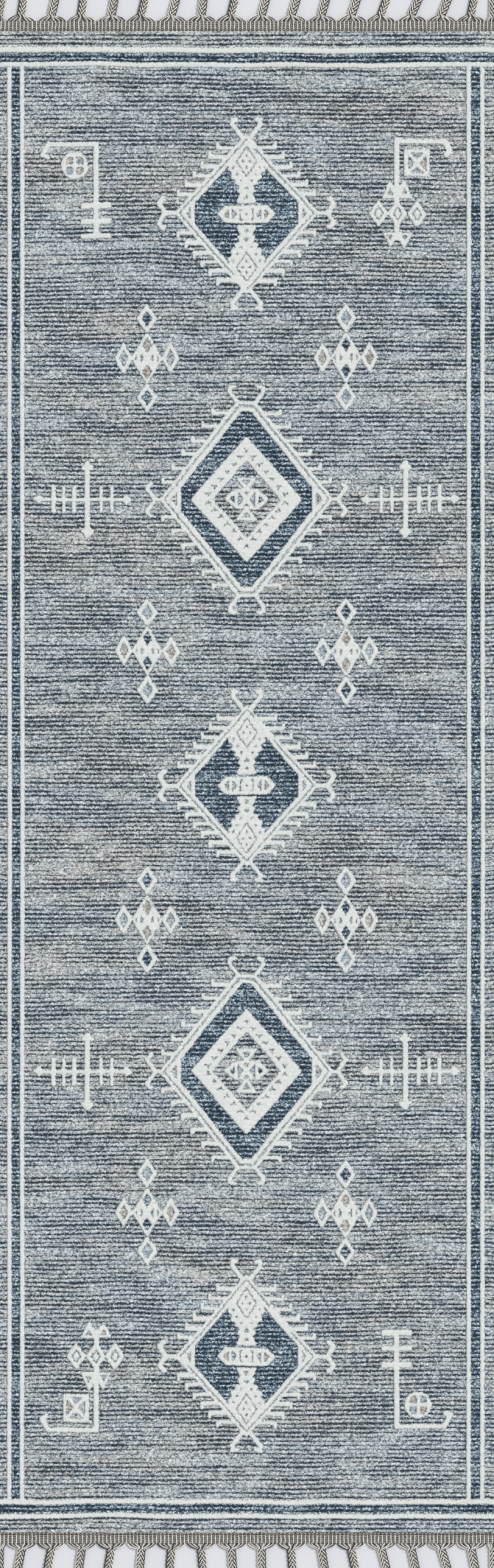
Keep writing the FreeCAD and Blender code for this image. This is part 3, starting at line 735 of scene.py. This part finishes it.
def make_pile():
    """Every pile node as closed pieces of tufted relief."""
    yarn_of_node = {
        "field_pile": "ground",
        "border_margin": "ground",
        "border_navy": "navy",
        "border_line_outer": "cream",
        "border_line_inner": "cream",
        "inset_ground": "ground",
        "medallion_grounds": "navy",
        "accent_brown": "brown",
        "accent_blue": "blue",
        "cluster_motifs_upper": "cream",
        "cluster_motifs_lower": "cream",
        "comb_motifs": "cream",
        "corner_motifs_upper": "cream",
        "corner_motifs_lower": "cream",
    }
    yarn_of_node.update({f"medallion_{i}": "cream" for i in range(1, 6)})
    materials = pile_yarns()
    pile = Pile(yarn_of_node)
    floor_of_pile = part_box("ground_weave")[1].z
    pieces = []
    for node, yarn in yarn_of_node.items():
        openness = pile.breadth(node) if node == "inset_ground" else 1.0
        x, y, height, edge = pile.relief(node, yarn, openness)
        fields = {"row": pile.row, "dark": pile.dark * openness, "tint": pile.tint, "edge": edge}
        for name, x_range, y_range in windows_of(node):
            mask = pile.cells(node, x_range, y_range)
            mesh = closed_relief(name, x, y, height, mask, floor_of_pile, fields)
            pieces.append(place_piece(name, mesh, materials[yarn], f"{yarn}_pile", node))
    return pieces


# --- the woven back, end bands and side cords -----------------------------------------------------------


def grid_over(low, high, step_x, step_y):
    """Even grid corners over a box, seen from above."""
    columns, rows = round((high.x - low.x) / step_x), round((high.y - low.y) / step_y)
    x = np.linspace(low.x, high.x, columns + 1)[None, :].repeat(rows + 1, 0)
    y = np.linspace(low.y, high.y, rows + 1)[:, None].repeat(columns + 1, 1)
    return x, y, np.ones((rows, columns), bool)


def make_back():
    """The ground cloth: ribs of weft show on its underside."""
    low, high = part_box("ground_weave")
    row_pitch = (high.y - low.y) / PILE_ROWS
    x, y, mask = grid_over(low, high, BACK_STEP_MM * MM, row_pitch / 4)
    ribs = 0.5 + 0.5 * np.cos(2 * math.pi * (y - low.y) / row_pitch)
    knots = smooth_noise(x.shape, (0.6, 0.8), 41)
    z = low.z + MM * (0.45 * ribs + 0.12 * np.clip(knots, 0, 2))
    shade = np.clip(0.75 - 0.35 * ribs + 0.12 * knots, 0, 1)
    mesh = closed_relief("woven_back", x, y, z, mask, high.z, {"shade": shade})
    material = warp_yarn("ground_weave_yarn", (96, 92, 88), (206, 199, 186), 0.5)
    return place_piece("woven_back", mesh, material, "ground_weave", "ground_weave")


def band_ribs(x_mm, out_mm, seed):
    """Height and shade of the ribs, and each corner's share of the way over a cream and a dark one."""
    sway = smooth_noise((2, x_mm.shape[1]), (0, 22), seed)[:1] * 0.35
    sway = sway + smooth_noise(x_mm.shape, (9, 12), seed + 1) * 0.1
    phase = (x_mm / RIB_PITCH_MM + 0.3 * sway) % 1.0
    in_cream = phase < CREAM_RIB_SHARE
    cream_arch = np.sin(math.pi * np.clip(phase / CREAM_RIB_SHARE, 0, 1))
    dark_arch = np.sin(math.pi * np.clip((phase - CREAM_RIB_SHARE) / (1 - CREAM_RIB_SHARE), 0, 1))
    pick_sway = 0.12 * smooth_noise((2, x_mm.shape[1]), (0, 8), seed + 2)[:1]
    pick = np.sin(2 * math.pi * (out_mm / PICK_PITCH_MM + pick_sway))
    rough = smooth_noise(x_mm.shape, (0.7, 0.7), seed + 3)
    height = np.where(in_cream, 0.9 * cream_arch, 0.5 * dark_arch + 0.16 * pick * dark_arch) + 0.06 * rough
    middle_yarn = MIDDLE_YARN_SHADE * (dark_arch > 0.985)
    dark_shade = np.maximum(PICK_SHADE * (pick > 0.62) * (dark_arch > 0.3), middle_yarn)
    # Cream ribs are painted lighter along their crests and darker down their sides: painted shade on the
    # rounded rib.
    shade = np.where(in_cream, 0.7 + 0.3 * cream_arch, dark_shade) + 0.05 * rough
    return height, shade, phase


def band_stitches(height, shade, phase, out_mm):
    """The band with a toothed line of dark stitches across it, and pale yarn between them and the pile."""
    tooth = np.abs(phase - 0.5 - CREAM_RIB_SHARE / 2) * 2
    tooth = np.minimum(tooth, 2 - tooth)
    edge_line = STITCH_DEPTH_MM * (0.3 + 0.7 * tooth)
    stitch = np.abs(out_mm - edge_line) < STITCH_HALF_WIDTH_MM
    before = out_mm < edge_line
    shade = np.where(stitch, STITCH_SHADE, np.where(before, PALE_SHADE, shade))
    height = np.where(stitch, STITCH_HEIGHT_MM, np.where(before, PALE_HEIGHT_MM, height))
    return height, shade


def make_end_band(end, material):
    """The ribbed band at one end of the pile, whose outer edge is rounded off."""
    low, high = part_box(f"end_band_{end}")
    x, y, mask = grid_over(low, high, BAND_STEP_MM[0] * MM, BAND_STEP_MM[1] * MM)
    out_mm = ((y - low.y) if end == "top" else (high.y - y)) / MM
    width_mm = (high.y - low.y) / MM
    height, shade, phase = band_ribs((x - low.x) / MM, out_mm, 51 if end == "top" else 55)
    height, shade = band_stitches(height, shade, phase, out_mm)
    ease = np.clip((width_mm - out_mm) / BAND_ROUNDING_MM, 0, 1) ** 0.5
    z = high.z + MM * (height - 1.0) * ease - BAND_DROP_MM * MM * (1 - ease)
    mesh = closed_relief(f"woven_band_{end}", x, y, z, mask, low.z, {"shade": np.clip(shade, 0, 1)})
    return place_piece(f"woven_band_{end}", mesh, material, "end_band", f"end_band_{end}")


def make_side_cord(side, material):
    """The bound edge: yarn wound closely round the outermost warps, in slanting turns, with painted shade
    in the grooves between them.
    """
    low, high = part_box(f"selvage_{side}")
    rings = round((high.y - low.y) / (CORD_STEP_MM * MM))
    y = np.linspace(low.y, high.y, rings + 1)[:, None].repeat(CORD_SIDES, 1)
    angle = (2 * math.pi * np.arange(CORD_SIDES) / CORD_SIDES)[None, :].repeat(rings + 1, 0)
    wave = 0.5 + 0.5 * np.cos(2 * math.pi * y / (CORD_TURN_MM * MM) + angle)
    rough = smooth_noise(y.shape, (1, 0.6), 61 if side == "left" else 62)
    grow = 1 - 0.09 * (1 - wave) - 0.02 * np.clip(rough, 0, 2)
    middle_x, middle_z = (low.x + high.x) / 2, (low.z + high.z) / 2
    x = middle_x + (high.x - low.x) / 2 * grow * np.cos(angle)
    z = middle_z + (high.z - low.z) / 2 * grow * np.sin(angle)
    number = np.arange((rings + 1) * CORD_SIDES).reshape(rings + 1, CORD_SIDES)
    beside = np.roll(number, -1, axis=1)
    quads = np.stack([number[:-1], number[1:], beside[1:], beside[:-1]], axis=2).reshape(-1, 4)
    caps = np.array([[0, i + 1, i] for i in range(1, CORD_SIDES - 1)])
    last = number[-1, 0]
    caps = np.concatenate([caps[:, ::-1], caps + last])
    points = np.stack([x, y, z], axis=2).reshape(-1, 3)
    # The yarn is painted darker in the grooves between turns and lighter on their crests: painted shade.
    # The roughness adds random tone.
    shade = np.clip(0.45 + 0.3 * wave + 0.14 * rough, 0, 1).ravel()
    mesh = build_mesh(f"side_cord_{side}", points, quads, caps, {"shade": shade})
    return place_piece(f"side_cord_{side}", mesh, material, "selvage", f"selvage_{side}")


# --- the tassels ----------------------------------------------------------------------------------------


class YarnBundle:
    """Tubes of yarn gathered into one mesh."""

    def __init__(self):
        self.points, self.quads, self.triangles, self.shades = [], [], [], []
        self.count = 0

    def add(self, path, radius, shade, sides=6):
        """A round yarn along a path of points; radius is one number or one for each point."""
        path = np.asarray(path, float)
        amount = len(path)
        radius = np.broadcast_to(radius, amount)
        ahead = np.gradient(path, axis=0)
        ahead /= np.linalg.norm(ahead, axis=1)[:, None]
        across = np.cross(ahead[0], (0.0, 0.0, 1.0))
        if np.linalg.norm(across) < 0.1:
            across = np.cross(ahead[0], (0.0, 1.0, 0.0))
        frames = np.empty((amount, 2, 3))
        for i in range(amount):
            across = across - ahead[i] * across.dot(ahead[i])
            across = across / math.sqrt(across.dot(across))
            frames[i] = across, np.cross(across, ahead[i])
        turn = 2 * math.pi * np.arange(sides) / sides
        ring = np.stack([np.cos(turn), np.sin(turn)], axis=1)
        rings = path[:, None, :] + radius[:, None, None] * np.einsum("sk,nkd->nsd", ring, frames)
        number = self.count + np.arange(amount * sides).reshape(amount, sides)
        beside = np.roll(number, -1, axis=1)
        quads = np.stack([number[:-1], number[1:], beside[1:], beside[:-1]], axis=2)
        self.quads.append(quads.reshape(-1, 4))
        first, last = number[0], number[-1]
        fan = [(0, i, i + 1) for i in range(1, sides - 1)]
        self.triangles.append([(first[a], first[b], first[c]) for a, b, c in fan])
        self.triangles.append([(last[a], last[c], last[b]) for a, b, c in fan])
        self.points.append(rings.reshape(-1, 3))
        self.shades.append(np.repeat(np.broadcast_to(shade, amount), sides))
        self.count += amount * sides

    def mesh(self, name, scale, shift):
        """The bundle as a mesh, scaled and then shifted into place."""
        points = np.concatenate(self.points) * scale + shift
        quads, triangles = np.concatenate(self.quads), np.concatenate(self.triangles)
        return build_mesh(name, points, quads, triangles, {"shade": np.concatenate(self.shades)})


def bezier(corners, share):
    """Points along the curve with four control corners."""
    a, b, c, d = (np.asarray(p, float)[None, :] for p in corners)
    t = share[:, None]
    return a * (1 - t) ** 3 + 3 * b * t * (1 - t) ** 2 + 3 * c * t**2 * (1 - t) + d * t**3


def strand_line(strand, y, start):
    """The middle of one of the plait's three strands, and the direction across it."""
    turn = 2 * math.pi * ((y - start) / PLAIT_CYCLE_MM - 1 / 6 + strand / STRANDS)
    x = STRAND_SWING_MM * np.sin(turn)
    z = PLAIT_CENTRE_MM + STRAND_LIFT_MM * np.sin(2 * turn)
    slope = STRAND_SWING_MM * 2 * math.pi / PLAIT_CYCLE_MM * np.cos(turn)
    length = np.sqrt(1 + slope**2)
    across = np.stack([1 / length, -slope / length, np.zeros(len(y))], axis=1)
    return np.stack([x, y, z], axis=1), across


def lean_about_gather(points, lean):
    """Points past the gathered warp ends turned about it, towards +X."""
    angle = math.radians(lean)
    x, y = points[:, 0], points[:, 1] - GATHER_MM
    turned_x = x * math.cos(angle) + y * math.sin(angle)
    turned_y = y * math.cos(angle) - x * math.sin(angle)
    return np.stack([turned_x, turned_y + GATHER_MM, points[:, 2]], axis=1)


def fan_place(slot):
    """Where the group's yarn with that number stands across it, from -1 to 1."""
    total = STRANDS * YARNS_PER_STRAND
    return (slot + 0.5) / total * 2 - 1


def tassel_yarns(bundle, half_width, lean, random):
    """The group's warp ends: gathered at the band's edge, plaited in strands, and loose past the knot."""
    start, end = GATHER_MM - PLAIT_OVERLAP_MM, PLAIT_END_MM + PLAIT_TUCK_MM
    y = np.arange(start, end, YARN_STEP_MM)
    squeeze = np.clip((end - y) / PLAIT_TAPER_MM, 0.45, 1)
    cream_first = random.integers(2)
    for strand in range(STRANDS):
        line, across = strand_line(strand, y, start)
        for index in range(YARNS_PER_STRAND):
            side = index - (YARNS_PER_STRAND - 1) / 2
            plaited = line + across * (side * YARN_SPACING_MM * squeeze)[:, None]
            plaited[:, 0] *= squeeze**0.5
            plaited[:, 2] += (0.4 - 0.16 * side**2) * squeeze
            across_fan = fan_place(FAN_ORDER[strand] * YARNS_PER_STRAND + index)
            from_x = math.copysign(abs(across_fan) ** FAN_SPREAD, across_fan) * half_width
            from_x += random.normal(0, 0.5)
            root = lean_about_gather(plaited[:1], lean)[0]
            outward = abs(from_x) / half_width
            corners = [
                (from_x, -0.4, 2.2 + random.normal(0, 0.2)),
                (from_x * 0.86, 0.6 + 4.0 * outward + random.normal(0, 0.4), 3.0 + 0.6 * abs(side)),
                (from_x * 0.36 + root[0] * 0.3, 2.6 + 5.0 * outward + random.normal(0, 0.4), 4.2),
                root,
            ]
            steps = int(9 + abs(from_x) * 0.55)
            share = np.linspace(0, 1, steps, endpoint=False)
            gather = bezier(corners, share)
            gather[:, 2] += 0.9 * np.sin(math.pi * share)
            loose = loose_end(plaited[-1], across_fan, random)
            hanging = lean_about_gather(np.concatenate([plaited, loose]), lean)
            path = np.concatenate([gather, hanging])
            dark = (index + cream_first) % 2 == 0
            shade = random.normal(0.02, 0.03) if dark else random.normal(0.92, 0.06)
            radius = np.full(len(path), DARK_RADIUS_MM if dark else CREAM_RADIUS_MM)
            radius[-3:] *= (0.9, 0.75, 0.45)
            bundle.add(path, radius, np.clip(shade, 0, 1))


def loose_end(start, across_fan, random):
    """A yarn's free end, which fans out past the knot and drops to the floor."""
    spread = across_fan * LOOSE_SPREAD_MM + random.normal(0, 0.9)
    length = TASSEL_LENGTH_MM - random.random() * 5 - start[1]
    share = np.linspace(0, 1, 15)[1:]
    bend = random.normal(0, 1.2)
    x = start[0] + (spread - start[0]) * share**1.5 + bend * np.sin(math.pi * share)
    y = start[1] + length * share
    rest = CREAM_RADIUS_MM + 0.1 + random.random() * 1.3
    z = start[2] + (rest - start[2]) * np.clip(1.5 * share, 0, 1)
    return np.stack([x, y, z], axis=1)


def tassel_knot(bundle, lean, random):
    """The tie at the plait's end: turns of yarn wound tightly over it."""
    amount = int(KNOT_TURNS * KNOT_POINTS)
    turn = 2 * math.pi * np.arange(amount) / KNOT_POINTS
    share = np.arange(amount) / (amount - 1)
    fat = 1 + 0.12 * np.sin(math.pi * share)
    x = KNOT_HALF_WIDTH_MM * fat * np.cos(turn) + random.normal(0, 0.2)
    z = KNOT_CENTRE_MM + KNOT_HALF_HEIGHT_MM * fat * np.sin(turn)
    y = PLAIT_END_MM + 1.3 + share * (KNOT_END_MM - PLAIT_END_MM - 2.6) + 0.5 * np.cos(turn)
    path = lean_about_gather(np.stack([x, y, z], axis=1), lean)
    bundle.add(path, KNOT_YARN_RADIUS_MM, random.choice([0.12, 0.85]), sides=8)


def make_tassels(material):
    """A tassel on every group of warp ends, at both ends of the rug."""
    half_width_mm = cad_box[1].x / MM
    whole_span = WHOLE_GROUPS * TASSEL_PITCH_MM / 2
    corner_width = half_width_mm - whole_span
    groups = [(-(whole_span + half_width_mm) / 2, corner_width)]
    groups += [((i + 0.5) * TASSEL_PITCH_MM - whole_span, TASSEL_PITCH_MM) for i in range(WHOLE_GROUPS)]
    groups += [((whole_span + half_width_mm) / 2, corner_width)]
    pieces = []
    for end, sign, leans in (("top", 1, LEANS_TOP), ("bottom", -1, LEANS_BOTTOM)):
        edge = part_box(f"end_band_{end}")[1 if sign > 0 else 0].y
        for number, ((x, width), lean) in enumerate(zip(groups, leans), 1):
            random = np.random.default_rng(1000 * (sign + 2) + number)
            bundle = YarnBundle()
            tassel_yarns(bundle, (width - GROUP_GAP_MM) / 2, lean, random)
            tassel_knot(bundle, lean, random)
            name = f"tassel_{end}_{number:02d}"
            mesh = bundle.mesh(f"plaited_{name}", (MM, sign * MM, MM), (x * MM, edge, 0))
            if sign < 0:
                mesh.flip_normals()
            pieces.append(place_piece(f"plaited_{name}", mesh, material, "tassel_yarn", name))
    return pieces


# --- the whole rug --------------------------------------------------------------------------------------

make_camera()
make_light()
make_floor()
warp_material = warp_yarn("warp_yarn", (34, 28, 29), (236, 233, 224), 0.3)
rug_pieces = make_pile()
rug_pieces += [make_end_band(end, warp_material) for end in ("top", "bottom")]
cord_material = warp_yarn("side_cord_yarn", (70, 80, 92), (196, 198, 196), 0.5)
rug_pieces += [make_side_cord(side, cord_material) for side in ("left", "right")]
rug_pieces += make_tassels(warp_material)
back = make_back()
